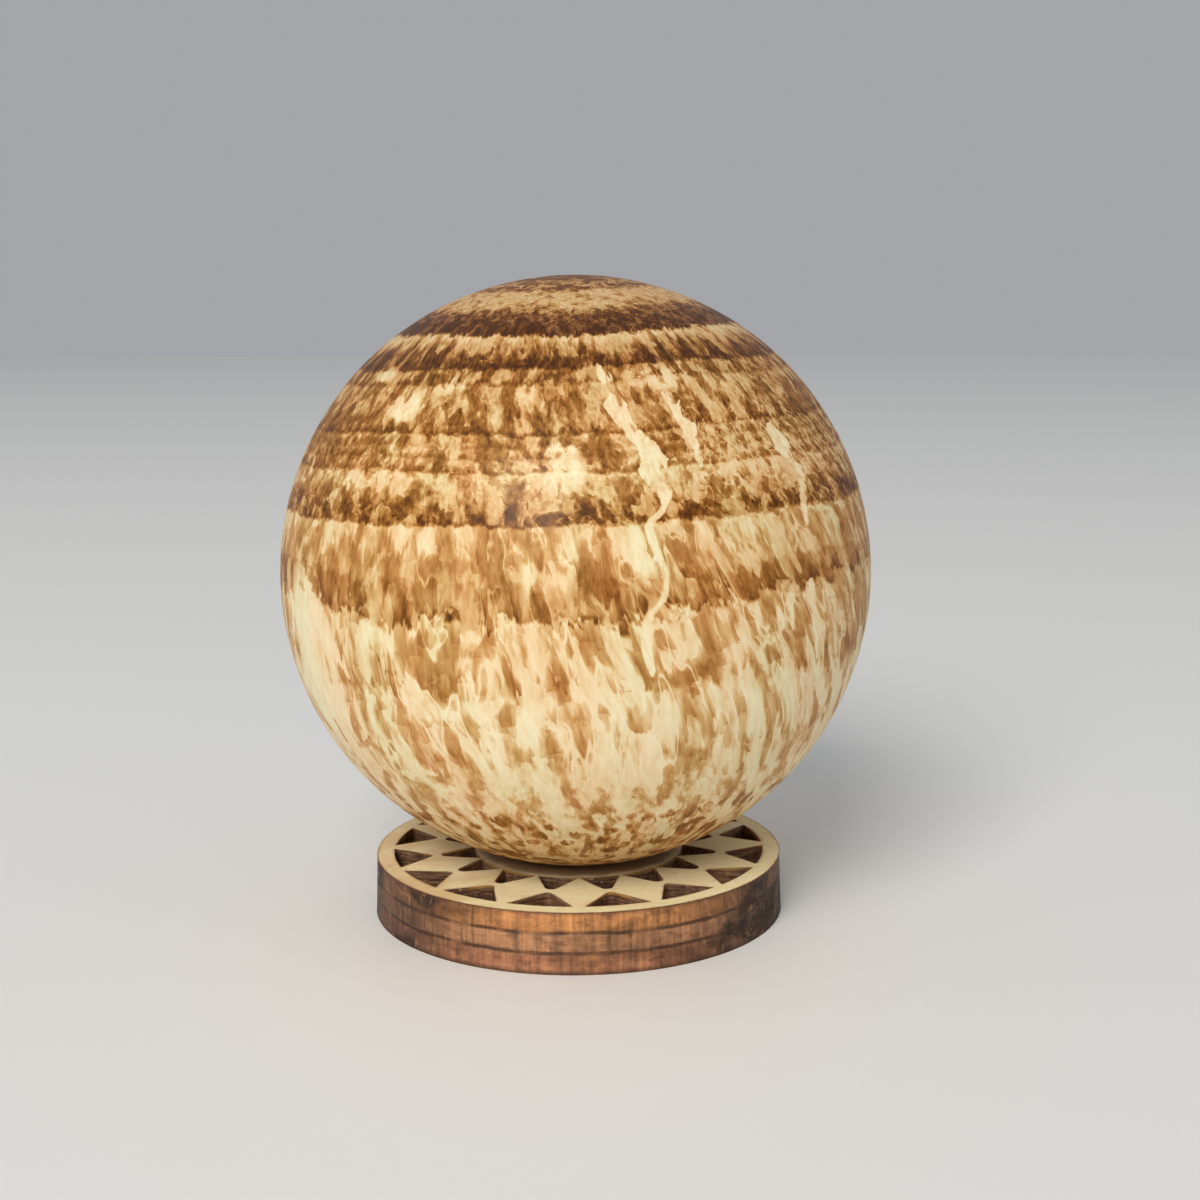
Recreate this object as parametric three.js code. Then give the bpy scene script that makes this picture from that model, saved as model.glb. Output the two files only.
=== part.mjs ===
// A polished sphere of banded stone resting on a small laser-cut plywood stand.
// Millimetres, +Z up. The origin is on the table, under the centre of the stand.
import * as THREE from "three";

// Sphere
const sphereRadius = 27;
const meridians = 64;
const parallels = 40;

// Stand: one disc of board, cut right through
const standRadius = 19; // at the top face
const standThickness = 5.5;
const kerfTaper = 0.2; // the laser's cut leaves the foot this much wider than the top, all round
const seatRadius = 6; // the sphere rests on the top edge of this round hole
const seatClearance = 0.05; // between the sphere and that edge

// Star of kites cut between the rim and the seat's ring
const kiteCount = 16;
const rimInnerRadius = 17.35; // where the rim meets the outer windows
const seatRingRadius = 9.85; // where the seat's ring meets the inner windows
const outerWindowPoint = 14; // radius of the outer windows' inward points
const innerWindowPoint = 13; // radius of the inner windows' outward points
const tipAtRim = 1.2; // width of a kite's tip where it joins the rim
const tipAtSeat = 0.4; // width of a kite's tip where it joins the seat's ring
const outerPointRounding = 0.45; // the windows' points are rounded to these radii
const innerPointRounding = 0.55;

const rimSteps = 128;
const seatSteps = 64;
const windowArcSteps = 6;
const windowPointSteps = 5;
const kitePitch = (2 * Math.PI) / kiteCount;
const firstKite = -Math.PI / 2; // one kite points straight along -Y

/** Points along an arc about a centre on the X axis, both ends included. */
function arc(centre, radius, from, to, steps) {
  const points = [];
  for (let i = 0; i <= steps; i++) {
    const angle = from + ((to - from) * i) / steps;
    points.push(new THREE.Vector2(centre + radius * Math.cos(angle), radius * Math.sin(angle)));
  }
  return points;
}

/** A full circle about the origin, without repeating its first point. */
function circle(radius, steps) {
  return arc(0, radius, 0, 2 * Math.PI, steps).slice(0, steps);
}

/**
 * A three-sided window about the X axis, between two kites. Its base is an arc about the origin, its
 * straight sides run from the arc's ends as tangents to a small circle, and that circle rounds its point.
 * The kites' tips keep tipWidth beside the base. The point faces outwards or, for an outer window, inwards.
 */
function windowOutline(baseRadius, pointRadius, tipWidth, rounding) {
  const side = Math.sign(pointRadius - baseRadius);
  const halfBase = kitePitch / 2 - tipWidth / 2 / baseRadius;
  const centre = pointRadius - side * rounding;
  const along = side * (baseRadius * Math.cos(halfBase) - centre);
  const across = baseRadius * Math.sin(halfBase);
  const tangent = Math.atan2(across, along) - Math.acos(rounding / Math.hypot(along, across));
  const base = arc(0, baseRadius, -halfBase, halfBase, windowArcSteps);
  const point = arc(0, rounding, tangent, -tangent, windowPointSteps);
  return [...base, ...point.map((p) => new THREE.Vector2(centre + side * p.x, p.y))];
}

function windowOutlines() {
  const outer = windowOutline(rimInnerRadius, outerWindowPoint, tipAtRim, outerPointRounding);
  const inner = windowOutline(seatRingRadius, innerWindowPoint, tipAtSeat, innerPointRounding);
  const origin = new THREE.Vector2();
  const outlines = [];
  for (let i = 0; i < kiteCount; i++) {
    const middle = firstKite + (i + 0.5) * kitePitch;
    for (const outline of [outer, inner]) {
      outlines.push(outline.map((point) => point.clone().rotateAround(origin, middle)));
    }
  }
  return outlines;
}

/** The outer wall leans out towards the foot by kerfTaper. */
function leanRim(geometry) {
  const position = geometry.getAttribute("position");
  for (let i = 0; i < position.count; i++) {
    const x = position.getX(i);
    const y = position.getY(i);
    const radius = Math.hypot(x, y);
    const onRim = radius > (rimInnerRadius + standRadius) / 2;
    if (onRim && position.getZ(i) < standThickness / 2) {
      const wider = (radius + kerfTaper) / radius;
      position.setXY(i, x * wider, y * wider);
    }
  }
}

function stand() {
  const outline = new THREE.Shape(circle(standRadius, rimSteps));
  outline.holes.push(new THREE.Path(circle(seatRadius, seatSteps)));
  for (const points of windowOutlines()) {
    outline.holes.push(new THREE.Path(points));
  }
  const geometry = new THREE.ExtrudeGeometry(outline, { depth: standThickness, bevelEnabled: false });
  leanRim(geometry);
  const wood = new THREE.MeshStandardMaterial({ color: 0xb98c58, roughness: 0.75, metalness: 0 });
  const mesh = new THREE.Mesh(geometry, wood);
  mesh.name = "stand";
  return mesh;
}

function sphere() {
  const geometry = new THREE.SphereGeometry(sphereRadius, meridians, parallels);
  geometry.rotateX(Math.PI / 2); // the poles of the mesh lie on the Z axis
  const stone = new THREE.MeshStandardMaterial({ color: 0xc9a06a, roughness: 0.2, metalness: 0 });
  const mesh = new THREE.Mesh(geometry, stone);
  mesh.name = "sphere";
  const centreAboveSeat = Math.sqrt(sphereRadius ** 2 - seatRadius ** 2);
  mesh.position.z = standThickness + centreAboveSeat + seatClearance;
  return mesh;
}

const ornament = new THREE.Group();
ornament.add(stand(), sphere());

export default ornament;
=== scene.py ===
"""The looks of a polished banded-stone sphere resting on a laser-cut plywood stand.

Metres, +Z up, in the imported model's frame: the origin is on the table under the stand's centre, and -Y is
the front. Every new piece is a numpy surface that stands for one CAD node.
"""
import math

import bmesh
import bpy
import numpy as np
from mathutils import Matrix, Vector
from mathutils.kdtree import KDTree


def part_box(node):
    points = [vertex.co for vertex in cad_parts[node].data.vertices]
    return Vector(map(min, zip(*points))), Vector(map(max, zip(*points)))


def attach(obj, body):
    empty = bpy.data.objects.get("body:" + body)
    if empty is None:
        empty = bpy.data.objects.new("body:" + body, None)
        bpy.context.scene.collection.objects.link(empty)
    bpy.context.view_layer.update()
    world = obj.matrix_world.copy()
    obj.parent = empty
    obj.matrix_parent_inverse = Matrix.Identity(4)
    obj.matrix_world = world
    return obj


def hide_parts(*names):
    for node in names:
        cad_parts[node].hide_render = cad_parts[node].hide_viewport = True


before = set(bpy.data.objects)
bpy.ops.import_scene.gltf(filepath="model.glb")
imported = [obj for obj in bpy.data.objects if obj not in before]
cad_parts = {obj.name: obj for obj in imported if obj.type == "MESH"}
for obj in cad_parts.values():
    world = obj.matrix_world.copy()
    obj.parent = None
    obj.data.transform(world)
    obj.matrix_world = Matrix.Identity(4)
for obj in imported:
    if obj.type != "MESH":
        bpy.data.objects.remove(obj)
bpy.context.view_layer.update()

MM = 0.001
TURN = 2 * math.pi
NOISE_TABLE = 32  # random numbers along each side of a noise's lattice, before it repeats

# --- Sizes, from the frame ---

sphere_low, sphere_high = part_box("sphere")
SPHERE_CENTRE = (sphere_low + sphere_high) / 2
SPHERE_RADIUS = (sphere_high.x - sphere_low.x) / 2
stand_low, stand_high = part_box("stand")
KERF_TAPER = 0.2 * MM  # the foot of the stand is this much wider than its top, all round
STAND_RADIUS = (stand_high.x - stand_low.x) / 2 - KERF_TAPER
THICKNESS = stand_high.z - stand_low.z

# The stand's cut pattern, the same as in the CAD node
KITES = 16
PITCH = TURN / KITES
FIRST_KITE = -TURN / 4
SEAT_RADIUS = 6.0 * MM
SEAT_RING = 9.85 * MM
RIM_INNER = 17.35 * MM
INNER_POINT, OUTER_POINT = 13.0 * MM, 14.0 * MM
INNER_ROUNDING, OUTER_ROUNDING = 0.55 * MM, 0.45 * MM
TIP_AT_SEAT, TIP_AT_RIM = 0.4 * MM, 1.2 * MM
# Angles from a window's middle to its corners
CORNER_AT_SEAT = PITCH / 2 - TIP_AT_SEAT / 2 / SEAT_RING
CORNER_AT_RIM = PITCH / 2 - TIP_AT_RIM / 2 / RIM_INNER
ANGLE_SLACK = 1e-9

# Three plies, with a glue line under each of the upper two
GLUE_LINES = (THICKNESS - 1.85 * MM, THICKNESS - 3.6 * MM)


# --- Noise and mesh helpers ---

def lattice_noise(points, cell, seed):
    """Smooth noise from 0 to 1: random numbers on a cubic lattice of this cell, blended across each cell."""
    table = np.random.default_rng(seed).random((NOISE_TABLE,) * 3)
    scaled = np.asarray(points, float) / cell
    base = np.floor(scaled).astype(int)
    part = scaled - base
    part = part * part * (3 - 2 * part)
    total = np.zeros(len(scaled))
    for corner in np.ndindex(2, 2, 2):
        weight = np.prod(np.where(np.array(corner) == 1, part, 1 - part), axis=1)
        x, y, z = ((base + corner) % NOISE_TABLE).T
        total += weight * table[x, y, z]
    return total


def smooth_step(low, high, value):
    """0 below low, 1 above high, and an S-curve between them."""
    t = np.clip((value - low) / (high - low), 0, 1)
    return t * t * (3 - 2 * t)


def grid_faces(rows, columns, start=0):
    """The quads of a grid of vertices that are stored row after row."""
    r, c = np.meshgrid(np.arange(rows - 1), np.arange(columns - 1), indexing="ij")
    a = (start + r * columns + c).ravel()
    return np.stack([a, a + 1, a + columns + 1, a + columns], axis=1)


def mesh_object(name, vertices, faces):
    """A mesh object at the origin, from an array of vertices and a list or array of faces."""
    mesh = bpy.data.meshes.new(name)
    mesh.from_pydata(np.asarray(vertices).tolist(), [], [list(f) for f in faces])
    piece = bpy.data.objects.new(name, mesh)
    bpy.context.scene.collection.objects.link(piece)
    return piece


def store(mesh, name, values):
    """Keeps one number for each vertex, for a material to read."""
    attribute = mesh.attributes.new(name, "FLOAT", "POINT")
    attribute.data.foreach_set("value", np.asarray(values, np.float32))


# --- Node helpers ---

class Graph:
    """Short calls that add nodes to a tree and return their output sockets."""

    def __init__(self, tree):
        self.tree = tree

    def add(self, kind, **settings):
        node = self.tree.nodes.new(kind)
        for key, value in settings.items():
            setattr(node, key, value)
        return node

    def feed(self, socket, value):
        """Links a socket to another one, or sets it to a value. None leaves it alone."""
        if isinstance(value, bpy.types.NodeSocket):
            self.tree.links.new(value, socket)
        elif value is not None:
            socket.default_value = value

    def math(self, operation, a, b=None, c=None, clamp=False):
        node = self.add("ShaderNodeMath", operation=operation, use_clamp=clamp)
        for socket, value in zip(node.inputs, (a, b, c)):
            self.feed(socket, value)
        return node.outputs[0]

    def vector(self, operation, a, b):
        node = self.add("ShaderNodeVectorMath", operation=operation)
        self.feed(node.inputs[0], a)
        self.feed(node.inputs[1], b)
        return node.outputs["Vector"]

    def stretch(self, vector, *factors):
        """A vector times one number, or times a number for each of its three."""
        return self.vector("MULTIPLY", vector, factors * 3 if len(factors) == 1 else factors)

    def split(self, vector):
        node = self.add("ShaderNodeSeparateXYZ")
        self.feed(node.inputs[0], vector)
        return node.outputs

    def join(self, x, y, z):
        node = self.add("ShaderNodeCombineXYZ")
        for socket, value in zip(node.inputs, (x, y, z)):
            self.feed(socket, value)
        return node.outputs[0]

    def noise(self, vector, scale, detail, roughness=0.5, colour=False):
        node = self.add("ShaderNodeTexNoise")
        self.feed(node.inputs["Vector"], vector)
        self.feed(node.inputs["Scale"], scale)
        self.feed(node.inputs["Detail"], detail)
        self.feed(node.inputs["Roughness"], roughness)
        return node.outputs["Color" if colour else "Fac"]

    def swing(self, vector, scale, detail, roughness=0.5):
        """A noise less its middle value, so from about -0.5 to 0.5."""
        return self.math("SUBTRACT", self.noise(vector, scale, detail, roughness), 0.5)

    def wander(self, vector, scale, detail):
        """A vector of three noises, each less its middle value."""
        return self.vector("SUBTRACT", self.noise(vector, scale, detail, colour=True), (0.5, 0.5, 0.5))

    def cells(self, vector, scale, output):
        """A pattern of cells: output Color holds each cell's own numbers, Distance how far its middle is."""
        node = self.add("ShaderNodeTexVoronoi")
        self.feed(node.inputs["Vector"], vector)
        self.feed(node.inputs["Scale"], scale)
        return node.outputs[output]

    def span(self, value, low, high, to_low=0.0, to_high=1.0, smooth=True):
        """value from low..high carried to to_low..to_high and held there outside."""
        node = self.add("ShaderNodeMapRange")
        node.interpolation_type = "SMOOTHSTEP" if smooth else "LINEAR"
        for name, number in zip(
            ("Value", "From Min", "From Max", "To Min", "To Max"), (value, low, high, to_low, to_high)
        ):
            self.feed(node.inputs[name], number)
        return node.outputs["Result"]

    def stops(self, value, stops, interpolation):
        """A linear RGBA for each value, between stops of [(place, RGBA)]."""
        node = self.add("ShaderNodeValToRGB")
        node.color_ramp.interpolation = interpolation
        elements = node.color_ramp.elements
        while len(elements) < len(stops):
            elements.new(1.0)
        for element, (place, _) in zip(elements, stops):
            element.position = place
        for element, (_, colour) in zip(elements, stops):
            element.color = colour
        self.feed(node.inputs["Fac"], value)
        return node.outputs["Color"]

    def ramp(self, value, stops, interpolation="LINEAR"):
        """A colour for each value. stops is [(place, sRGB triple)]."""
        return self.stops(value, [(place, linear(colour)) for place, colour in stops], interpolation)

    def levels(self, value, stops):
        """Up to three numbers for each value. stops is [(place, numbers)]."""
        padded = [(place, (*numbers, 1.0, 1.0, 1.0)[:4]) for place, numbers in stops]
        return self.split(self.stops(value, padded, "LINEAR"))

    def total(self, *terms, clamp=False):
        """The sum of terms: sockets, numbers or (socket, weight) pairs. clamp holds it within 0 and 1."""
        result = None
        for term in terms:
            if isinstance(term, tuple):
                socket, weight = term
                result = self.math("MULTIPLY_ADD", socket, weight, 0.0 if result is None else result)
            else:
                result = term if result is None else self.math("ADD", result, term)
        return self.math("ADD", result, 0.0, clamp=True) if clamp else result

    def blend(self, factor, a, b, mode="MIX"):
        """Colour a with b laid over it by the factor. Each is a socket or an sRGB triple."""
        node = self.add("ShaderNodeMix", data_type="RGBA", blend_type=mode)
        sockets = {s.identifier: s for s in node.inputs}
        self.feed(sockets["Factor_Float"], factor)
        for key, value in (("A_Color", a), ("B_Color", b)):
            is_colour = isinstance(value, (tuple, list))
            self.feed(sockets[key], linear(value) if is_colour else value)
        return next(s for s in node.outputs if s.identifier == "Result_Color")

    def attribute(self, name):
        return self.add("ShaderNodeAttribute", attribute_name=name).outputs["Fac"]

    def object_place(self):
        return self.add("ShaderNodeTexCoord").outputs["Object"]


def linear(colour):
    """An sRGB triple of 0 to 255 as a linear RGBA."""
    share = [c / 255 for c in colour]
    return tuple(c / 12.92 if c <= 0.04045 else ((c + 0.055) / 1.055) ** 2.4 for c in share) + (1.0,)


def new_material(name):
    """An empty material's graph, with its Principled shader already wired to the output."""
    material = bpy.data.materials.new(name)
    material.use_nodes = True
    material.node_tree.nodes.clear()
    graph = Graph(material.node_tree)
    shader = graph.add("ShaderNodeBsdfPrincipled")
    output = graph.add("ShaderNodeOutputMaterial")
    material.node_tree.links.new(shader.outputs["BSDF"], output.inputs["Surface"])
    return material, graph, shader


def add_bump(g, shader, height, distance, strength=0.6):
    """Fine relief in the shader's normal, as deep as distance where the height goes from 0 to 1."""
    bump = g.add("ShaderNodeBump")
    bump.inputs["Strength"].default_value = strength
    bump.inputs["Distance"].default_value = distance
    g.feed(bump.inputs["Height"], height)
    g.feed(shader.inputs["Normal"], bump.outputs["Normal"])


# --- The sphere ---

MERIDIANS = 448
PARALLELS = 208

# Pale veins in the stone, seen from the front: (side, height, half-width) of points along each, all three as
# shares of the radius
VEINS = (
    ((0.07, 0.70, 0.020), (0.10, 0.65, 0.022), (0.14, 0.58, 0.022), (0.19, 0.50, 0.020),
     (0.225, 0.43, 0.030), (0.262, 0.36, 0.016), (0.255, 0.32, 0.010), (0.212, 0.275, 0.010),
     (0.236, 0.20, 0.009), (0.262, 0.12, 0.010), (0.248, 0.06, 0.010), (0.208, 0.01, 0.013),
     (0.203, -0.07, 0.014), (0.222, -0.16, 0.004)),
    ((0.60, 0.53, 0.004), (0.65, 0.43, 0.005), (0.69, 0.36, 0.007), (0.695, 0.31, 0.011),
     (0.705, 0.24, 0.004)),
    ((0.715, 0.07, 0.006), (0.722, 0.02, 0.008), (0.735, -0.07, 0.008), (0.745, -0.18, 0.004)),
    ((0.27, 0.64, 0.006), (0.32, 0.55, 0.010), (0.37, 0.46, 0.006)),
)

# Bells, each (longitude in degrees, height, half-width in degrees, half-height, strength): where the stone is
# paler (+) or darker (-). The two broad dark bells near the limbs are painted shade.
AREAS_AND_LIMB_SHADE = (
    (-59, -0.18, 8.5, 0.26, 1.1),
    (-40, 0.60, 4.5, 0.05, 0.75),
    (-55, 0.69, 5.0, 0.035, 0.60),
    (-30, 0.665, 5.0, 0.03, 0.50),
    (-11, 0.65, 3.0, 0.05, 0.40),
    (20, 0.69, 10.0, 0.04, 0.55),
    (-2, 0.43, 4.6, 0.07, 0.62),
    (-3, 0.495, 4.5, 0.012, 0.5),
    (11, 0.20, 4.0, 0.075, 0.6),
    (-3, 0.16, 2.8, 0.08, 0.5),
    (-8, 0.13, 1.0, 0.06, 0.7),
    (-27, 0.22, 1.6, 0.05, 0.8),
    (6, -0.28, 14.0, 0.17, 0.30),
    (32, -0.30, 5.0, 0.20, 0.20),
    (5, 0.49, 4.5, 0.05, -0.55),
    (3, 0.15, 2.2, 0.12, -0.45),
    (-62, 0.38, 14.0, 0.12, -0.15),
    (-46, -0.33, 4.0, 0.16, -0.30),
    (66, -0.05, 5.0, 0.12, -0.50),
    (24, -0.10, 5.0, 0.10, -0.30),
    (36, 0.52, 10.0, 0.14, 0.16),
    # Painted shade: this bell and the next darken the stone high up near the right and the left limb
    (66, 0.50, 14.0, 0.24, -0.32),
    (-64, 0.55, 12.0, 0.26, -0.24),
    (-48, 0.37, 5.0, 0.03, 0.35),
)

# Where the layers lie higher (+) or lower (-), as a share of the radius
LIFTS = (
    (-70, 0.04, 32.0, 0.15, 0.030),
    (-22, 0.03, 14.0, 0.10, 0.012),
    (44, 0.04, 26.0, 0.16, 0.055),
    (95, 0.04, 40.0, 0.16, 0.030),
    (8, 0.82, 40.0, 0.06, -0.006),
)


def smooth_line(points, steps=6):
    """
    A smooth line through points. Each stretch is a cubic, and its slope at a point is half the step from the
    point before to the point after.
    """
    points = np.asarray(points, float)
    ends = np.concatenate([2 * points[:1] - points[1:2], points, 2 * points[-1:] - points[-2:-1]])
    share = np.arange(steps)[:, None] / steps
    t, t2, t3 = share, share**2, share**3
    rows = []
    for before, start, end, after in zip(ends[:-3], ends[1:-2], ends[2:-1], ends[3:]):
        a, b = (end - before) / 2, (after - start) / 2
        rows.append((2 * t3 - 3 * t2 + 1) * start + (t3 - 2 * t2 + t) * a
                    + (3 * t2 - 2 * t3) * end + (t3 - t2) * b)
    return np.concatenate([*rows, points[-1:]])


def vein_field(places):
    """
    How deep each place lies in a pale vein: the half-width less the distance to the vein's line, the
    most over all the veins. Each line is smooth through its points, and its width changes evenly.
    """
    side, depth, height = places.T
    best = np.full(len(places), -1.0)
    for vein in VEINS:
        points = smooth_line(vein)
        for (x0, z0, w0), (x1, z1, w1) in zip(points[:-1], points[1:]):
            along = np.array([x1 - x0, z1 - z0])
            share = np.clip(((side - x0) * along[0] + (height - z0) * along[1]) / (along @ along), 0, 1)
            away = np.hypot(side - x0 - share * along[0], height - z0 - share * along[1])
            best = np.maximum(best, np.where(depth < 0, w0 + share * (w1 - w0) - away, best))
    return best


def bell_field(places, bells):
    """The sum of the bells: each is its strength times a steep bell in longitude and height."""
    longitude = np.degrees(np.arctan2(places[:, 0], -places[:, 1]))
    total = np.zeros(len(places))
    for middle, height, half_width, half_height, strength in bells:
        across = (longitude - middle) / half_width
        up = (places[:, 2] - height) / half_height
        total += strength * np.exp(-((across**2 + up**2) ** 1.5))
    return total


def make_sphere():
    """
    A sphere of meridians and parallels, closed by a fan at each pole. A place on it is the radius times
    (cos a cos b, sin a cos b, sin b). The polish leaves it a few hundredths of a millimetre low along the
    veins and in soft spots.
    """
    latitude = (np.arange(1, PARALLELS) / PARALLELS - 0.5) * math.pi
    longitude = np.arange(MERIDIANS) * TURN / MERIDIANS
    b, a = np.meshgrid(latitude, longitude, indexing="ij")
    ring = np.stack([np.cos(a) * np.cos(b), np.sin(a) * np.cos(b), np.sin(b)], axis=-1).reshape(-1, 3)
    places = np.concatenate([ring, [[0, 0, -1]], [[0, 0, 1]]])

    rows, columns = PARALLELS - 1, MERIDIANS
    r, c = np.meshgrid(np.arange(rows - 1), np.arange(columns), indexing="ij")
    here, beside = r * columns + c, r * columns + (c + 1) % columns
    quads = np.stack([here, beside, beside + columns, here + columns], axis=-1).reshape(-1, 4)
    first, last = np.arange(columns), (rows - 1) * columns + np.arange(columns)
    south = np.stack([np.full(columns, rows * columns), np.roll(first, -1), first], axis=-1)
    north = np.stack([np.full(columns, rows * columns + 1), last, np.roll(last, -1)], axis=-1)

    veins = vein_field(places)
    soft = lattice_noise(places, 0.11, seed=3)
    low = 0.03 * MM * smooth_step(-0.02, 0.02, veins) + 0.02 * MM * smooth_step(0.35, 0.8, soft)
    vertices = np.array(SPHERE_CENTRE) + places * (SPHERE_RADIUS - low)[:, None]
    piece = mesh_object("polished_sphere", vertices, [*quads.tolist(), *south.tolist(), *north.tolist()])
    store(piece.data, "vein", veins)
    store(piece.data, "area_and_limb_shade", bell_field(places, AREAS_AND_LIMB_SHADE))
    store(piece.data, "lift", bell_field(places, LIFTS))
    piece.data.shade_smooth()
    return piece


# Growth layers, from the bottom of the sphere upwards: (height as a share of the radius, share of brown
# grains, how dark these are, how dark the ground between them is). Within a layer the stone is palest at its
# top and darkens downwards to a sharp lower edge.
LOW_LAYERS = (
    (-1.00, 0.56, 0.76, 0.34), (-0.80, 0.46, 0.80, 0.26), (-0.70, 0.46, 0.76, 0.18),
    (-0.662, 0.44, 0.68, 0.15), (-0.645, 0.42, 0.60, 0.13), (-0.56, 0.45, 0.54, 0.12),
    (-0.476, 0.41, 0.50, 0.11), (-0.462, 0.53, 0.63, 0.10), (-0.42, 0.49, 0.56, 0.08),
    (-0.33, 0.49, 0.53, 0.06), (-0.235, 0.46, 0.54, 0.05), (-0.215, 0.64, 0.68, 0.10),
    (-0.15, 0.60, 0.61, 0.11), (-0.07, 0.58, 0.56, 0.11), (-0.012, 0.50, 0.50, 0.12),
    (0.000, 0.72, 0.84, 0.30), (0.02, 0.64, 0.80, 0.34), (0.06, 0.62, 0.76, 0.38),
    (0.104, 0.66, 0.70, 0.40), (0.112, 0.58, 0.64, 0.32), (0.16, 0.66, 0.66, 0.24),
    (0.21, 0.62, 0.63, 0.19), (0.272, 0.50, 0.60, 0.18),
)
HIGH_LAYERS = (
    (0.272, 0.50, 0.60, 0.18), (0.281, 0.76, 0.88, 0.42), (0.292, 0.70, 0.90, 0.43),
    (0.32, 0.65, 0.87, 0.39), (0.36, 0.58, 0.74, 0.31), (0.425, 0.46, 0.64, 0.19),
    (0.434, 0.78, 0.80, 0.35), (0.452, 0.62, 0.74, 0.29), (0.466, 0.58, 0.70, 0.28),
    (0.473, 0.76, 0.80, 0.33), (0.488, 0.62, 0.72, 0.30), (0.498, 0.58, 0.70, 0.27),
    (0.505, 0.74, 0.78, 0.32), (0.532, 0.56, 0.72, 0.28), (0.541, 0.86, 0.88, 0.43),
    (0.556, 0.68, 0.80, 0.36), (0.672, 0.55, 0.76, 0.32), (0.681, 0.81, 0.85, 0.49),
    (0.694, 0.63, 0.85, 0.39), (0.716, 0.57, 0.83, 0.36), (0.724, 0.85, 0.97, 0.61),
    (0.75, 0.75, 0.93, 0.55), (0.778, 0.57, 0.87, 0.45), (0.818, 0.30, 0.56, 0.22),
    (0.826, 0.84, 1.00, 0.80), (0.86, 0.68, 0.98, 0.77), (0.885, 0.60, 0.92, 0.68),
    (0.902, 0.40, 0.70, 0.36), (0.946, 0.38, 0.66, 0.34), (0.956, 0.82, 0.94, 0.56),
    (0.970, 0.40, 0.80, 0.42), (0.980, 0.74, 0.90, 0.56),
)


def fibre_frame(g, x, y, z, drift, wobble):
    """
    Each place in the fibres' own frame. Every level slice of the sphere is scaled to one size, so the fibres
    follow its sides, and turned by an angle that grows with the height and to the right, so they lean: they
    run down to the right, and more so on the right. The height is pressed together, so grains are several
    times as long as they are wide in the lower half, and hardly longer than wide in the upper one. Two noises
    bend the frame.
    """
    girth_squared = g.math("MULTIPLY_ADD", g.math("MULTIPLY", z, z), -1.0, 1.0)
    girth = g.math("SQRT", g.math("MAXIMUM", girth_squared, 0.30))
    twist = g.math("MULTIPLY", z, g.math("MULTIPLY_ADD", x, 0.34, 0.20))
    cosine, sine = g.math("COSINE", twist), g.math("SINE", twist)
    turned_x = g.total((g.math("MULTIPLY", x, cosine), 1.0), (g.math("MULTIPLY", y, sine), -1.0))
    turned_y = g.total((g.math("MULTIPLY", x, sine), 1.0), (g.math("MULTIPLY", y, cosine), 1.0))
    drift_x, drift_y, drift_z = g.split(drift)
    wobble_x, wobble_y, _ = g.split(wobble)
    across = g.total(g.math("DIVIDE", turned_x, girth), (drift_x, 0.08), (wobble_x, 0.016))
    deep = g.total(g.math("DIVIDE", turned_y, girth), (drift_y, 0.08), (wobble_y, 0.016))
    rise = g.total((z, 0.27), g.span(z, 0.0, 0.27, 0.0, 0.036, smooth=False),
                   g.span(z, 0.27, 0.95, 0.0, 0.432, smooth=False), (drift_z, 0.05),
                   g.span(z, -0.95, -0.52, -0.18, 0.0, smooth=False))
    return g.join(across, deep, rise)


def stone_layers(g, height):
    """The layers' three numbers at a height in the stack: brown share, its tone, and the ground's tone."""
    halves = []
    for stack in (LOW_LAYERS, HIGH_LAYERS):
        foot, top = stack[0][0], stack[-1][0]
        stops = [((level - foot) / (top - foot), numbers) for level, *numbers in stack]
        halves.append(g.levels(g.span(height, foot, top, smooth=False), stops))
    is_high = g.math("GREATER_THAN", height, HIGH_LAYERS[0][0])
    return [g.total(low, (g.math("SUBTRACT", high, low), is_high)) for low, high in zip(*halves)]


def thin_lines(g, place, scale, width):
    """1 on thin winding lines, where a noise crosses its middle value, and 0 where it is width off that."""
    return g.span(g.math("ABSOLUTE", g.swing(place, scale, 1.0)), 0.0, width, 1.0, 0.0)


def stone_colour(g, dark, fibre, steps, z):
    """The colour of stone from 0 for cream to 1 for nearly black brown, with slow changes of hue."""
    colour = g.ramp(dark, [
        (0.0, (248, 236, 204)), (0.14, (241, 221, 181)), (0.30, (230, 198, 149)), (0.45, (211, 167, 108)),
        (0.60, (187, 135, 75)), (0.75, (150, 97, 38)), (0.88, (108, 64, 18)), (1.0, (72, 36, 6)),
    ])
    # The brown goes from olive to orange with a slow noise
    cast = g.ramp(g.noise(fibre, 7.0, 3.0), [
        (0.36, (249, 250, 237)), (0.5, (255, 250, 239)), (0.64, (255, 243, 230)),
    ])
    colour = g.blend(1.0, colour, cast, "MULTIPLY")
    # High up the paler stone is a little greyer
    greyer = g.math("MULTIPLY", g.span(z, 0.55, 0.85, 0.0, 0.10), g.math("MULTIPLY_ADD", steps, -0.9, 1.0))
    return g.blend(greyer, colour, (166, 142, 126))


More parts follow.
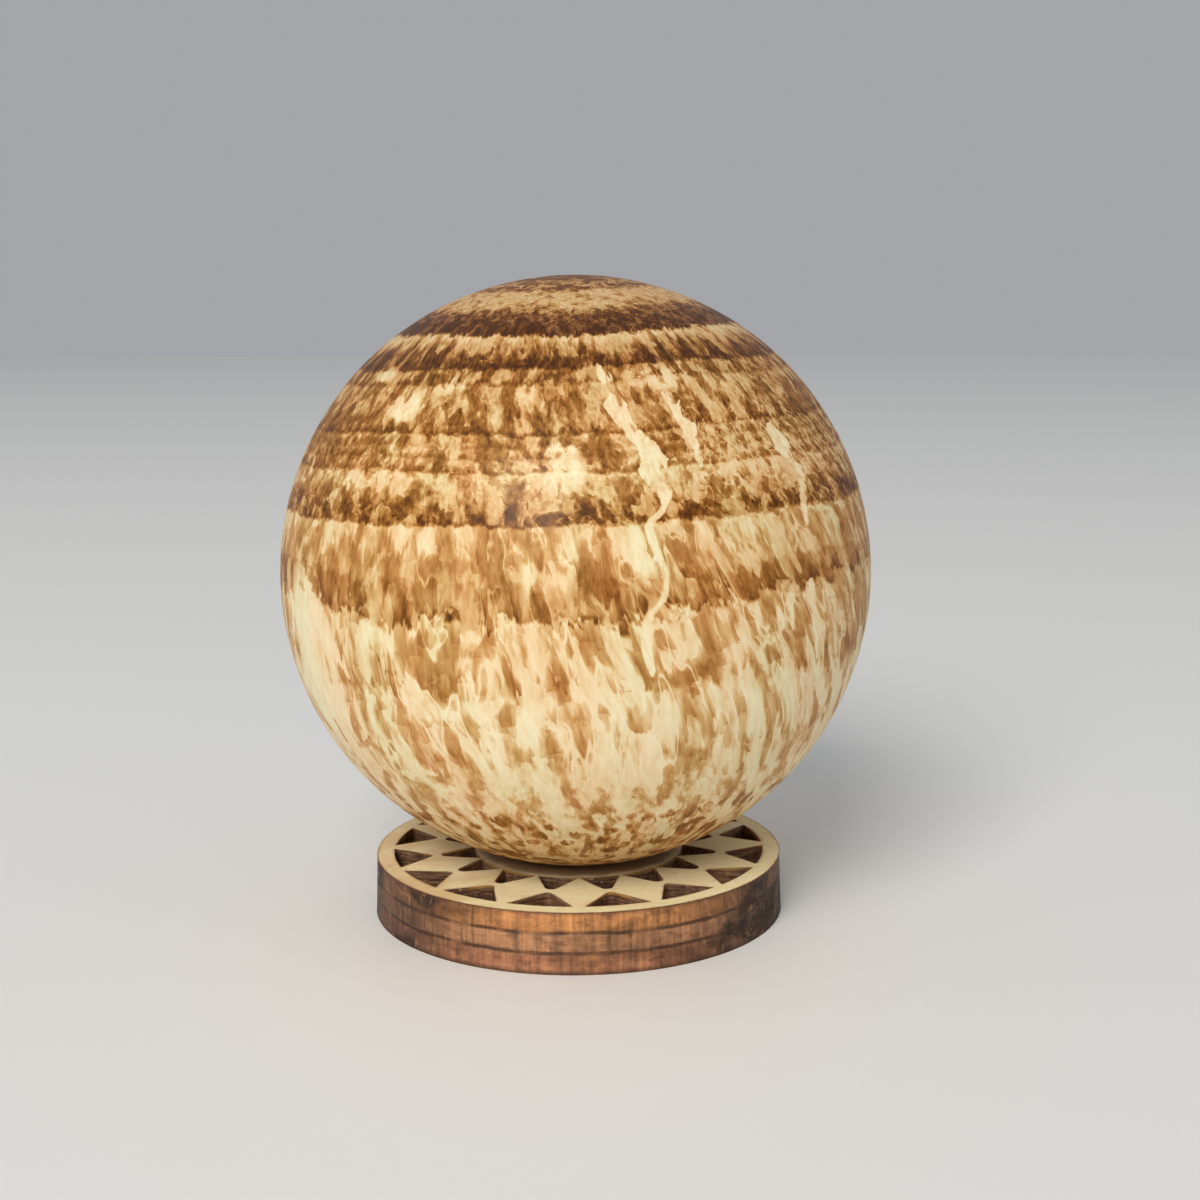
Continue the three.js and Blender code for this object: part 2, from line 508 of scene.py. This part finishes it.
def stone_material():
    """
    Banded stone of two kinds: brown grains in a cream ground. Every grain has a number of its own, and how
    far the layer's share lies above that number says how brown it is, in two steps: a tan rim, then a dark
    core. So every grain ends at a height of its own, and all of them start again at the layer's lower edge.
    Spots add to the share, and threads, veins and pale areas take from it. A slow noise does both, so some
    patches are browner than others.
    """
    material, g, shader = new_material("banded_stone")
    place = g.vector("SUBTRACT", g.object_place(), tuple(SPHERE_CENTRE))
    place = g.stretch(place, 1 / SPHERE_RADIUS)
    x, y, z = g.split(place)
    drift, wobble = g.wander(place, 2.2, 2.0), g.wander(place, 9.0, 1.0)
    drift_z, wobble_y = g.split(drift)[2], g.split(wobble)[1]
    fibre = fibre_frame(g, x, y, z, drift, wobble)

    # Every grain's outline is frayed
    fray = g.wander(fibre, 40.0, 2.0)
    frayed = g.vector("ADD", fibre, g.stretch(fray, 0.022))
    grain = g.span(g.noise(frayed, 17.0, 2.0), 0.32, 0.68, smooth=False)
    column = g.split(g.cells(frayed, 22.0, "Color"))[0]
    sliver = g.split(g.cells(frayed, 50.0, "Color"))[1]
    # Along each grain the stone starts pale and ends brown, over and over, from a start of the grain's own
    growth = g.math("FRACT", g.total((z, 6.2), (column, 9.0), (sliver, 0.10), (drift_z, 1.5)))
    growth_weight = g.math("MULTIPLY", g.span(z, -0.03, 0.04, 0.14, 0.08), g.span(z, -0.72, -0.50, 0.35, 1.0))
    grown = g.math("MULTIPLY", g.math("SUBTRACT", growth, 0.5), growth_weight)
    phase = g.total((grain, 0.70), (column, 0.36), (sliver, 0.15), grown, -0.11)

    # The layers rise to the right, wander, and end in small teeth at the grains
    teeth = g.math("MULTIPLY", g.total((column, 0.8), (sliver, 0.7), -0.75),
                   g.span(z, 0.02, 0.24, 0.060, 0.014))
    height = g.total(z, (x, -0.03), (drift_z, 0.035), teeth, (g.attribute("lift"), -1.0))
    share, tone, ground = stone_layers(g, height)

    # Round dark spots lie apart near the bottom
    frayed_place = g.vector("ADD", place, g.stretch(fray, 0.05))
    spots = g.cells(g.stretch(frayed_place, 1.0, 1.0, 0.8), 15.0, "Distance")
    spot = g.math("MULTIPLY", g.span(spots, 0.26, 0.44, 1.0, -0.10), g.span(z, -0.68, -0.58, 1.0, 0.0))

    # Pale threads run up between the grains, where a slow noise lets them, and finer ones on the upper right
    patch = g.noise(fibre, 5.0, 2.0)
    patchy = g.span(g.math("MULTIPLY_ADD", x, 0.08, patch), 0.40, 0.60)
    upright = g.math("MULTIPLY", g.span(z, 0.20, 0.36, 1.0, 0.45), g.span(z, -0.68, -0.40, 0.15, 1.0))
    thread = g.math("MULTIPLY", thin_lines(g, fibre, 17.0, 0.04), g.math("MULTIPLY", patchy, upright))
    upper_right = g.math("MULTIPLY", g.span(x, 0.05, 0.45), g.span(z, 0.27, 0.36))
    hair = g.math("MULTIPLY", thin_lines(g, frayed, 27.0, 0.055), upper_right)

    # The veins' sides are ragged, most of all high up
    ragged = g.math("MULTIPLY", g.total((phase, -0.8), (wobble_y, 1.0), 0.36),
                    g.span(z, 0.28, 0.42, 0.014, 0.070))
    vein = g.span(g.math("ADD", g.attribute("vein"), ragged), -0.005, 0.007)
    # The bells: pale and dark areas of the stone, and painted shade high up near both limbs
    area_and_limb_shade = g.attribute("area_and_limb_shade")

    share = g.total(share, (patch, 0.24), -0.12, (spot, 0.40), (thread, -0.42), (hair, -0.34), (vein, -1.1),
                    (area_and_limb_shade, -0.60))
    inside = g.math("SUBTRACT", share, phase)
    steps = g.levels(g.math("ADD", inside, 0.5, clamp=True), [
        (0.0, (0.0,)), (0.41, (0.12,)), (0.50, (0.50,)), (0.61, (0.64,)), (0.71, (0.90,)), (1.0, (1.0,)),
    ])[0]

    # Fine fibres streak both kinds, and the ground is palest in the veins
    pale = g.math("MAXIMUM", vein, g.span(area_and_limb_shade, 0.1, 0.6))
    ground = g.math("MULTIPLY", ground, g.math("MULTIPLY_ADD", pale, -0.7, 1.0))
    dark = g.total(ground, (g.math("SUBTRACT", tone, ground), steps))
    ends = g.math("MULTIPLY", steps, g.math("MULTIPLY", grown, -0.6))
    fine = g.math("MULTIPLY", g.swing(fibre, 62.0, 3.0, 0.6), g.span(z, 0.20, 0.40, 0.42, 0.56))
    dark = g.total(dark, ends, (fine, 1.0), (g.swing(fibre, 30.0, 2.0), 0.40), clamp=True)

    g.feed(shader.inputs["Base Color"], stone_colour(g, dark, fibre, steps, z))
    shader.inputs["Roughness"].default_value = 0.48
    shader.inputs["Specular IOR Level"].default_value = 0.16
    shader.inputs["Coat Weight"].default_value = 0.08
    shader.inputs["Coat Roughness"].default_value = 0.08
    add_bump(g, shader, g.noise(place, 70.0, 3.0, 0.6), 0.02 * MM, strength=0.25)
    return material


# --- The stand ---

RIM_ROWS = 20
WINDOW_ROWS = 7
# Rows of a wall beside each glue line, as steps from it in mm
RIM_GROOVE_ROWS = (-0.2, -0.1, 0.0, 0.1, 0.2)
WINDOW_GROOVE_ROWS = (-0.13, 0.0, 0.13)
ROW_GAP = 0.12 * MM  # evenly spaced rows nearer than this to a groove's row are left out
EDGE_ROW = 0.2 * MM  # the faces' first row lies this far from a cut
CUT_ROUNDING = 0.045 * MM
WELD = 0.002 * MM


def window_side(angle, base, point, corner, rounding):
    """
    Radius of a window's side and rounded point at each angle from its middle. The side is the straight
    line from the base's corner to a tangent point on a small circle, and the point is that circle. Past the
    corner it is the base's own radius, so the window has no width there.
    """
    way = math.copysign(1, point - base)
    centre = point - way * rounding
    start = np.array([base * math.cos(corner), base * math.sin(corner)])
    along, up = way * (start[0] - centre), start[1]
    tangent = math.atan2(up, along) - math.acos(rounding / math.hypot(along, up))
    touch = np.array([centre + way * rounding * math.cos(tangent), rounding * math.sin(tangent)])
    line = touch - start
    a = np.abs(angle)
    cross = start[0] * line[1] - start[1] * line[0]
    radius = cross / (np.cos(a) * line[1] - np.sin(a) * line[0])
    on_point = a < math.atan2(touch[1], touch[0])
    inside = np.maximum(rounding**2 - (centre * np.sin(a)) ** 2, 0)
    radius = np.where(on_point, centre * np.cos(a) + way * np.sqrt(inside), radius)
    return np.where(a >= corner - ANGLE_SLACK, base, radius)


def sector_angles():
    """Angles from one kite's middle to the next, across a window, with the window's corners among them."""
    marks = [(0.0, 17), (CORNER_AT_RIM, 2), (CORNER_AT_SEAT, 2), (PITCH / 2, 0)]
    half = np.concatenate([
        np.linspace(start, end, steps, endpoint=False)
        for (start, steps), (end, _) in zip(marks[:-1], marks[1:])
    ])
    return np.concatenate([-np.append(half[1:], PITCH / 2)[::-1], half])


def wall_grooves(place):
    """
    How far the laser and the glue lines cut into a wall at each place: fine upright scratches, and a narrow
    groove along each glue line that comes and goes. A groove is a bell of the height from its line.
    """
    z = place[:, 2]
    upright = place * np.array([1, 1, 0.05])
    depth = 0.035 * MM * lattice_noise(upright, 0.32 * MM, seed=5)
    depth = depth + 0.045 * MM * lattice_noise(upright, 0.9 * MM, seed=6) ** 2
    for number, line in enumerate(GLUE_LINES):
        wander = 0.12 * MM * (lattice_noise(place * np.array([1, 1, 0]), 4 * MM, seed=7 + number) - 0.5)
        shape = np.exp(-(((z - line - wander) / (0.11 * MM)) ** 2))
        depth = depth + 0.09 * MM * shape * lattice_noise(place, 1.5 * MM, seed=9 + number)
    ends = smooth_step(0, 0.2 * MM, z) * smooth_step(0, 0.2 * MM, THICKNESS - z)
    return depth * ends


def wall_heights(rows, groove_rows):
    """Heights of a wall's rows, from foot to top, closer together at the glue lines."""
    even = np.linspace(0, THICKNESS, rows + 1)
    grooves = [line + step * MM for line in GLUE_LINES for step in groove_rows]
    near = np.abs(even[:, None] - grooves).min(axis=1)
    keep = (near > ROW_GAP) | (even == 0) | (even == THICKNESS)
    return np.sort(np.concatenate([even[keep], grooves]))


class StandMesh:
    """Gathers the stand's surfaces as grids of vertices, each with its own finish."""

    FACE, RIM, WINDOW = 0, 1, 2

    def __init__(self):
        self.vertices = []
        self.faces = []
        self.finishes = []
        self.count = 0

    def add(self, grid, finish, flip=False):
        """Keeps a grid of places and its quads. flip turns them to face the other way."""
        rows, columns = grid.shape[:2]
        faces = grid_faces(rows, columns, self.count)
        self.faces.append(faces[:, ::-1] if flip else faces)
        self.finishes.append(np.full(len(faces), finish))
        self.vertices.append(grid.reshape(-1, 3))
        self.count += rows * columns

    def build(self, name):
        """The mesh object of all the grids so far."""
        vertices = np.concatenate(self.vertices)
        piece = mesh_object(name, vertices, np.concatenate(self.faces))
        piece.data.polygons.foreach_set("material_index", np.concatenate(self.finishes).astype(np.int32))
        return piece


def flat_grid(radii, angles, z):
    """Level places (r cos a, r sin a, z), with a row for each set of radii and a column for each angle."""
    radii = np.asarray(radii)
    return np.stack([radii * np.cos(angles), radii * np.sin(angles), np.full(radii.shape, z)], axis=-1)


def wall_grid(radius, angles, heights, taper=0.0):
    """
    An upright surface along the line of radii: its place is (r cos a, r sin a, z), and the radius grows by
    taper towards the foot.
    """
    z, r = np.meshgrid(heights, radius, indexing="ij")
    r = r + taper * (1 - z / THICKNESS)
    return np.stack([r * np.cos(angles), r * np.sin(angles), z], axis=-1)


def carve(grid, outward):
    """Moves a wall's places into the board by its grooves, against the wall's level normal at each column."""
    flat = grid.reshape(-1, 3)
    depth = wall_grooves(flat).reshape(grid.shape[:2])
    return grid - depth[..., None] * outward


def wall_normals(radius, angles, sign):
    """A wall's level normal at each column: its line's direction turned a quarter, outwards times sign."""
    line = np.stack([radius * np.cos(angles), radius * np.sin(angles)], axis=-1)
    step = np.gradient(line, axis=0)
    step /= np.linalg.norm(step, axis=1, keepdims=True)
    return sign * np.stack([step[:, 1], -step[:, 0], np.zeros(len(step))], axis=-1)


def radial_rows(low, high, inner_rows):
    """Radii from one cut to another: a row just inside each cut, and evenly spaced rows between these."""
    start, end = low + EDGE_ROW, high - EDGE_ROW
    share = np.linspace(0, 1, inner_rows)[:, None]
    return np.concatenate([[low], start + (end - start) * share, [high]])


def soften_cuts(mesh):
    """Rounds off the edges where a face of the board meets a cut."""
    work = bmesh.new()
    work.from_mesh(mesh)
    bmesh.ops.remove_doubles(work, verts=work.verts, dist=WELD)
    bmesh.ops.recalc_face_normals(work, faces=work.faces)
    cuts = [
        edge for edge in work.edges
        if sorted(f.material_index == StandMesh.FACE for f in edge.link_faces) == [False, True]
    ]
    bmesh.ops.bevel(work, geom=cuts, offset=CUT_ROUNDING, segments=2, profile=0.5, affect="EDGES",
                    material=-1)
    work.to_mesh(mesh)
    work.free()


def cut_distance(places, cuts):
    """How far each place lies from the nearest cut, seen from above. cuts are points along the cuts."""
    tree = KDTree(len(cuts))
    for number, (x, y) in enumerate(cuts):
        tree.insert((x, y, 0), number)
    tree.balance()
    return np.array([tree.find((x, y, 0))[2] for x, y, _ in places])


def make_stand():
    """
    The board: level grids for the seat's ring, the belt of kites and the rim, top and bottom, and wall grids
    along every cut. Their shared edges are merged, and a narrow bevel takes the sharpness off the cuts.
    """
    sector = sector_angles()
    middles = FIRST_KITE + (np.arange(KITES) + 0.5) * PITCH
    local = np.concatenate([np.tile(sector[:-1], KITES), sector[:1]])
    angles = np.concatenate([(m + sector[:-1]) for m in middles] + [[middles[0] + sector[0] + TURN]])
    inner_side = window_side(local, SEAT_RING, INNER_POINT, CORNER_AT_SEAT, INNER_ROUNDING)
    outer_side = window_side(local, RIM_INNER, OUTER_POINT, CORNER_AT_RIM, OUTER_ROUNDING)
    seat, ring, rim, edge = (
        np.full(len(angles), radius) for radius in (SEAT_RADIUS, SEAT_RING, RIM_INNER, STAND_RADIUS)
    )

    stand = StandMesh()
    foot = edge + KERF_TAPER
    # Each belt: its inner radii, its outer radii at the top and at the foot, and its rows at the top
    belts = ((seat, ring, ring, 6), (inner_side, outer_side, outer_side, 9), (rim, edge, foot, 5))
    for low, high, high_at_foot, rows in belts:
        stand.add(flat_grid(radial_rows(low, high, rows), angles, THICKNESS), StandMesh.FACE, flip=True)
        stand.add(flat_grid(radial_rows(low, high_at_foot, 2), angles, 0.0), StandMesh.FACE)

    outside = wall_grid(edge, angles, wall_heights(RIM_ROWS, RIM_GROOVE_ROWS), KERF_TAPER)
    stand.add(carve(outside, wall_normals(edge, angles, 1)), StandMesh.RIM)
    heights = wall_heights(WINDOW_ROWS, WINDOW_GROOVE_ROWS)
    hole = wall_grid(seat, angles, heights)
    stand.add(carve(hole, wall_normals(seat, angles, -1)), StandMesh.WINDOW, flip=True)
    for low, high, corner in ((ring, inner_side, CORNER_AT_SEAT), (outer_side, rim, CORNER_AT_RIM)):
        cut = np.flatnonzero(np.abs(sector) <= corner + ANGLE_SLACK)
        # A cut's first and last columns are shared with its neighbour, so the grooves end there
        grooved = np.ones((len(cut), 1))
        grooved[[0, -1]] = 0
        for middle in middles:
            columns = np.searchsorted(angles, middle - PITCH / 2 + ANGLE_SLACK) - 1 + cut
            for radius, sign in ((low[columns], 1), (high[columns], -1)):
                wall = wall_grid(radius, angles[columns], heights)
                normal = wall_normals(radius, angles[columns], sign) * grooved
                stand.add(carve(wall, normal), StandMesh.WINDOW, flip=sign < 0)
    piece = stand.build("plywood_stand")
    soften_cuts(piece.data)

    # Each cut's line, and how far it reaches from a window's middle
    lines = [(seat, PITCH), (edge, PITCH), (ring, CORNER_AT_SEAT), (inner_side, CORNER_AT_SEAT),
             (outer_side, CORNER_AT_RIM), (rim, CORNER_AT_RIM)]
    cuts = []
    for radius, reach in lines:
        within = np.abs(local) <= reach + ANGLE_SLACK
        cuts.append(np.stack([radius * np.cos(angles), radius * np.sin(angles)], axis=-1)[within])
    places = np.array([v.co for v in piece.data.vertices])
    store(piece.data, "cut_distance", cut_distance(places, np.concatenate(cuts)) / MM)
    piece.data.shade_smooth()
    piece.data.set_sharp_from_angle(angle=math.radians(50))
    return piece


# --- The stand's materials ---

def new_group(name, inputs, outputs):
    """An empty node group with these named sockets, and its graph. A number is a value, None a vector."""
    group = bpy.data.node_groups.new(name, "ShaderNodeTree")
    for socket, start in inputs.items():
        kind = "NodeSocketVector" if start is None else "NodeSocketFloat"
        made = group.interface.new_socket(name=socket, in_out="INPUT", socket_type=kind)
        if start is not None:
            made.default_value = start
    for socket in outputs:
        group.interface.new_socket(name=socket, in_out="OUTPUT", socket_type="NodeSocketFloat")
    graph = Graph(group)
    return group, graph, graph.add("NodeGroupInput").outputs, graph.add("NodeGroupOutput").inputs


def grain_group():
    """
    Wood grain, from a place in millimetres whose x runs along the grain. Figure is slow light and dark
    figure, Fibre is fine fibres, and Pore is 1 in short dark pores.
    """
    group, g, given, out = new_group("wood_grain", {"Place": None}, ("Figure", "Fibre", "Pore"))
    bend = g.stretch(g.noise(given["Place"], 0.12, 2.0, colour=True), 2.0)
    bent = g.vector("ADD", given["Place"], bend)
    g.feed(out["Figure"], g.noise(g.stretch(bent, 0.09, 0.75, 0.75), 1.0, 3.0, 0.55))
    g.feed(out["Fibre"], g.noise(g.stretch(bent, 0.5, 6.0, 6.0), 1.0, 2.0))
    pores = g.noise(g.stretch(bent, 1.1, 9.0, 9.0), 1.0, 0.0)
    g.feed(out["Pore"], g.span(pores, 0.66, 0.76))
    return group


def scorch_group():
    """
    Scorching beside a laser's cut, from the distance to the cut and a place in millimetres. Line is 1 in the
    dark line at the cut, and Halo is 1 in the amber beside it, wider and narrower along the cut. Reach is the
    halo's width.
    """
    group, g, given, out = new_group(
        "edge_scorch", {"Distance": 0.0, "Place": None, "Reach": 0.3}, ("Line", "Halo"))
    along = g.noise(given["Place"], 0.28, 3.0, 0.6)
    close = g.swing(given["Place"], 2.2, 2.0)
    width = g.math("MULTIPLY", given["Reach"], g.span(along, 0.34, 0.70, 0.25, 1.7, smooth=False))
    away = g.math("DIVIDE", given["Distance"], width)
    away = g.total(away, (close, 0.8))
    g.feed(out["Halo"], g.span(away, 0.1, 1.1, 1.0, 0.0))
    line = g.total((given["Distance"], 1.0), (close, 0.12))
    g.feed(out["Line"], g.span(line, 0.03, 0.12, 1.0, 0.0))
    return group


def char_group():
    """
    What a laser leaves on an upright cut through three plies, from a place in millimetres and the depth below
    the top. Scratch is the fine upright lines, Soot is 1 in dark patches, Glue is 1 in the glue lines, and
    Ply is 0, 1 or 2 for the upper, middle and lower ply.
    """
    group, g, given, out = new_group(
        "laser_char", {"Place": None, "Depth": 0.0}, ("Scratch", "Soot", "Glue", "Ply"))
    upright = g.stretch(given["Place"], 1.0, 1.0, 0.10)
    fine = g.noise(upright, 2.6, 2.0, 0.6)
    wide = g.noise(upright, 0.9, 2.0)
    g.feed(out["Scratch"], g.total((fine, 0.65), (wide, 0.35)))
    slow = g.noise(g.stretch(given["Place"], 1.0, 1.0, 1.6), 0.16, 3.0, 0.6)
    g.feed(out["Soot"], g.span(g.total(slow, (g.math("SUBTRACT", fine, 0.5), 0.12)), 0.44, 0.64))
    level = g.total(given["Depth"], (g.swing(given["Place"], 0.25, 1.0), 0.35),
                    (g.swing(given["Place"], 3.0, 1.0), 0.14))
    broken = g.span(g.noise(g.stretch(given["Place"], 1.0, 1.0, 0.3), 0.5, 2.0), 0.36, 0.56, 0.45, 1.0)
    lines = [g.math("ABSOLUTE", g.math("SUBTRACT", level, (THICKNESS - line) / MM)) for line in GLUE_LINES]
    g.feed(out["Glue"], g.math("MULTIPLY", g.span(g.math("MINIMUM", *lines), 0.06, 0.26, 1.0, 0.0), broken))
    below = [g.math("GREATER_THAN", level, (THICKNESS - line) / MM) for line in GLUE_LINES]
    g.feed(out["Ply"], g.math("ADD", *below))
    return group


def use_group(g, group, **given):
    """Puts a group in a material's graph and returns its outputs."""
    node = g.add("ShaderNodeGroup", node_tree=group)
    for name, value in given.items():
        g.feed(node.inputs[name], value)
    return node.outputs


def board_parts(g):
    """The place on the board in millimetres, and the depth below its top."""
    place = g.stretch(g.object_place(), 1 / MM)
    depth = g.math("SUBTRACT", THICKNESS / MM, g.split(place)[2])
    return place, depth


def face_material(grain, scorch):
    """
    Pale sanded wood with a faint grain, painted shade in brown round the seat under the sphere, faint smoke
    on the left, and an amber halo and a thin dark line beside every cut.
    """
    material, g, shader = new_material("sanded_face")
    place, _ = board_parts(g)
    wood = use_group(g, grain, Place=place)
    burn = use_group(g, scorch, Place=place, Distance=g.attribute("cut_distance"), Reach=0.32)
    tone = g.total((wood["Figure"], 0.55), (wood["Fibre"], 0.35), (g.noise(place, 0.45, 2.0), 0.25), -0.08)
    colour = g.ramp(tone, [(0.25, (255, 248, 208)), (0.5, (253, 240, 192)), (0.75, (240, 219, 168))])
    colour = g.blend(g.math("MULTIPLY", wood["Pore"], 0.35), colour, (170, 140, 92))
    x, y, _ = g.split(place)
    radius = g.math("SQRT", g.total(g.math("MULTIPLY", x, x), g.math("MULTIPLY", y, y)))
    # Painted shade under the sphere: the seat's ring is blended towards brown, strongest within 8.6 mm and
    # gone by 9.9 mm
    seat = g.total((radius, 1.0), (g.swing(place, 0.6, 2.0), 1.2))
    colour = g.blend(g.span(seat, 8.6, 9.9, 0.75, 0.0), colour, (150, 106, 70))
    smoke = g.total((x, -0.055), (y, -0.010), (g.noise(place, 0.22, 2.0), 1.3), -1.05)
    colour = g.blend(g.span(smoke, 0.10, 0.60, 0.0, 0.50), colour, (214, 168, 112))
    colour = g.blend(g.math("MULTIPLY", burn["Halo"], 0.55), colour, (196, 150, 100))
    colour = g.blend(g.math("MULTIPLY", burn["Line"], 0.75), colour, (92, 56, 30))
    g.feed(shader.inputs["Base Color"], colour)
    shader.inputs["Specular IOR Level"].default_value = 0.3
    g.feed(shader.inputs["Roughness"], g.span(wood["Fibre"], 0.3, 0.7, 0.62, 0.8))
    add_bump(g, shader, g.total((wood["Fibre"], 1.0), (wood["Pore"], -0.8)), 0.02 * MM)
    return material


def rim_material(grain, scorch, char):
    """The outer cut: blotchy orange-brown plies with dark glue lines, soot and upright scratches."""
    material, g, shader = new_material("scorched_rim")
    place, depth = board_parts(g)
    mark = use_group(g, char, Place=place, Depth=depth)
    burn = use_group(g, scorch, Place=place, Distance=depth, Reach=0.35)
    wood = use_group(g, grain, Place=place)
    ply = g.ramp(g.math("MULTIPLY", mark["Ply"], 0.5), [
        (0.0, (190, 128, 76)), (0.25, (182, 129, 90)), (0.75, (170, 113, 79)),
    ], "CONSTANT")
    # The laser's soot lies in patches, and the rim darkens towards both sides, where it turns away: that
    # darkening is painted shade
    side = g.math("ABSOLUTE", g.split(place)[0])
    soot_and_side_shade = g.total((mark["Soot"], 0.50), (g.span(side, 6.0, 17.0), 0.80), clamp=True)
    colour = g.blend(soot_and_side_shade, ply, (64, 43, 29))
    streaks = g.total((mark["Scratch"], 1.0), (wood["Fibre"], 0.25), -0.125)
    shade = g.span(streaks, 0.32, 0.68, 0.40, 1.52, smooth=False)
    colour = g.blend(1.0, colour, g.join(shade, shade, shade), "MULTIPLY")
    pale = g.noise(g.stretch(place, 1.0, 1.0, 0.22), 3.4, 0.0)
    colour = g.blend(g.span(pale, 0.70, 0.82, 0.0, 0.35), colour, (196, 152, 114))
    blotch = g.noise(g.stretch(place, 1.0, 1.0, 2.4), 0.55, 3.0, 0.6)
    colour = g.blend(g.span(blotch, 0.50, 0.70, 0.0, 0.50), colour, (84, 48, 25))
    colour = g.blend(g.span(blotch, 0.42, 0.28, 0.0, 0.35), colour, (212, 146, 86))
    colour = g.blend(g.math("MULTIPLY", mark["Glue"], 0.85), colour, (58, 34, 20))
    colour = g.blend(g.math("MULTIPLY", burn["Line"], 0.9), colour, (66, 40, 26))
    # The rim is darker just below its top edge and along its foot
    colour = g.blend(g.span(depth, 0.05, 0.40, 0.55, 0.0), colour, (96, 60, 36))
    foot = g.span(depth, THICKNESS / MM - 0.55, THICKNESS / MM - 0.05, 0.0, 0.75)
    colour = g.blend(foot, colour, (60, 38, 26))
    g.feed(shader.inputs["Base Color"], colour)
    shader.inputs["Specular IOR Level"].default_value = 0.35
    g.feed(shader.inputs["Roughness"], g.span(mark["Soot"], 0.0, 1.0, 0.55, 0.75))
    add_bump(g, shader, g.total((mark["Scratch"], 1.0), (mark["Glue"], -0.8)), 0.05 * MM)
    return material


def window_material(grain, scorch, char):
    """The inner cuts: charred dark, with paler streaks along the plies and amber in places near the top."""
    material, g, shader = new_material("charred_cut")
    place, depth = board_parts(g)
    mark = use_group(g, char, Place=place, Depth=depth)
    burn = use_group(g, scorch, Place=place, Distance=depth, Reach=0.30)
    wood = use_group(g, grain, Place=place)
    level = g.noise(g.stretch(place, 0.5, 0.5, 5.0), 1.0, 3.0, 0.6)
    tone = g.total((level, 0.8), (mark["Scratch"], 0.35), (wood["Fibre"], 0.3), (mark["Soot"], -0.10), -0.205)
    colour = g.ramp(tone, [
        (0.3, (66, 42, 28)), (0.46, (104, 73, 51)), (0.60, (146, 110, 79)), (0.75, (188, 150, 112)),
    ])
    colour = g.blend(g.math("MULTIPLY", mark["Glue"], 0.5), colour, (150, 112, 78))
    specks = g.noise(place, 1.9, 1.0)
    colour = g.blend(g.span(specks, 0.71, 0.77, 0.0, 0.6), colour, (196, 170, 130))
    where = g.span(g.noise(place, 0.2, 1.0), 0.46, 0.60)
    amber = g.math("MULTIPLY", g.math("MULTIPLY", burn["Halo"], where), 0.85)
    colour = g.blend(amber, colour, (196, 140, 62))
    g.feed(shader.inputs["Base Color"], colour)
    shader.inputs["Specular IOR Level"].default_value = 0.3
    shader.inputs["Roughness"].default_value = 0.7
    add_bump(g, shader, g.total((mark["Scratch"], 0.8), (level, 0.8)), 0.06 * MM)
    return material


def board_materials():
    """The three finishes, in the order of StandMesh's numbers."""
    grain, scorch, char = grain_group(), scorch_group(), char_group()
    return [face_material(grain, scorch), rim_material(grain, scorch, char),
            window_material(grain, scorch, char)]


# --- Build the pieces ---

sphere = make_sphere()
sphere.data.materials.append(stone_material())
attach(sphere, "root")
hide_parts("sphere")

stand = make_stand()
for board in board_materials():
    stand.data.materials.append(board)
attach(stand, "root")
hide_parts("stand")


# --- Floor, light and camera ---

def make_floor():
    """A plain pale disc far wider than the view, a hair below the stand's foot."""
    reach, sides = 1.6, 96
    a = np.arange(sides) * TURN / sides
    rim = np.stack([reach * np.cos(a), reach * np.sin(a), np.full(sides, -0.02 * MM)], axis=1)
    floor = mesh_object("floor", rim, [list(range(sides))])
    material, _, shader = new_material("pale_floor")
    shader.inputs["Base Color"].default_value = linear((243, 243, 240))
    shader.inputs["Roughness"].default_value = 0.6
    floor.data.materials.append(material)


def make_lamp():
    """A wide square lamp, high in front on the left, aimed at the sphere."""
    to_the_left, upwards, distance = math.radians(20), math.radians(36), 1.5
    way = Vector((-math.sin(to_the_left) * math.cos(upwards), -math.cos(to_the_left) * math.cos(upwards),
                  math.sin(upwards)))
    lamp = bpy.data.lights.new("lamp", "AREA")
    lamp.size = 0.69
    lamp.energy = 16.0
    lamp.color = (1.0, 0.975, 0.935)
    holder = bpy.data.objects.new("lamp", lamp)
    holder.location = SPHERE_CENTRE + way * distance
    holder.rotation_mode = "QUATERNION"
    holder.rotation_quaternion = way.to_track_quat("Z", "Y")
    bpy.context.scene.collection.objects.link(holder)


def make_world():
    """An even, faintly blue light from all round."""
    world = bpy.data.worlds.new("studio")
    world.use_nodes = True
    background = world.node_tree.nodes["Background"]
    background.inputs["Color"].default_value = (0.80, 0.82, 0.86, 1.0)
    background.inputs["Strength"].default_value = 0.46
    bpy.context.scene.world = world


def make_camera():
    """Looks slightly down at the sphere from the front, and is rolled by a third of a degree."""
    place = Vector((0, -164.8, 57.24)) * MM
    aim = SPHERE_CENTRE + Vector((2.17, -0.48, -2.67)) * MM
    roll = math.radians(-0.36)
    ahead = (aim - place).normalized()
    right = ahead.cross(Vector((0, 0, 1))).normalized()
    up = right.cross(ahead)
    right, up = right * math.cos(roll) + up * math.sin(roll), up * math.cos(roll) - right * math.sin(roll)
    camera = bpy.data.cameras.new("camera")
    camera.lens = 54
    camera.sensor_width = 36
    camera.clip_start, camera.clip_end = 0.01, 10
    holder = bpy.data.objects.new("camera", camera)
    turn = Matrix((right, up, -ahead)).transposed().to_4x4()
    holder.matrix_world = Matrix.Translation(place) @ turn
    bpy.context.scene.collection.objects.link(holder)
    bpy.context.scene.camera = holder


make_floor()
make_lamp()
make_world()
make_camera()
bpy.context.scene.view_settings.view_transform = "Standard"
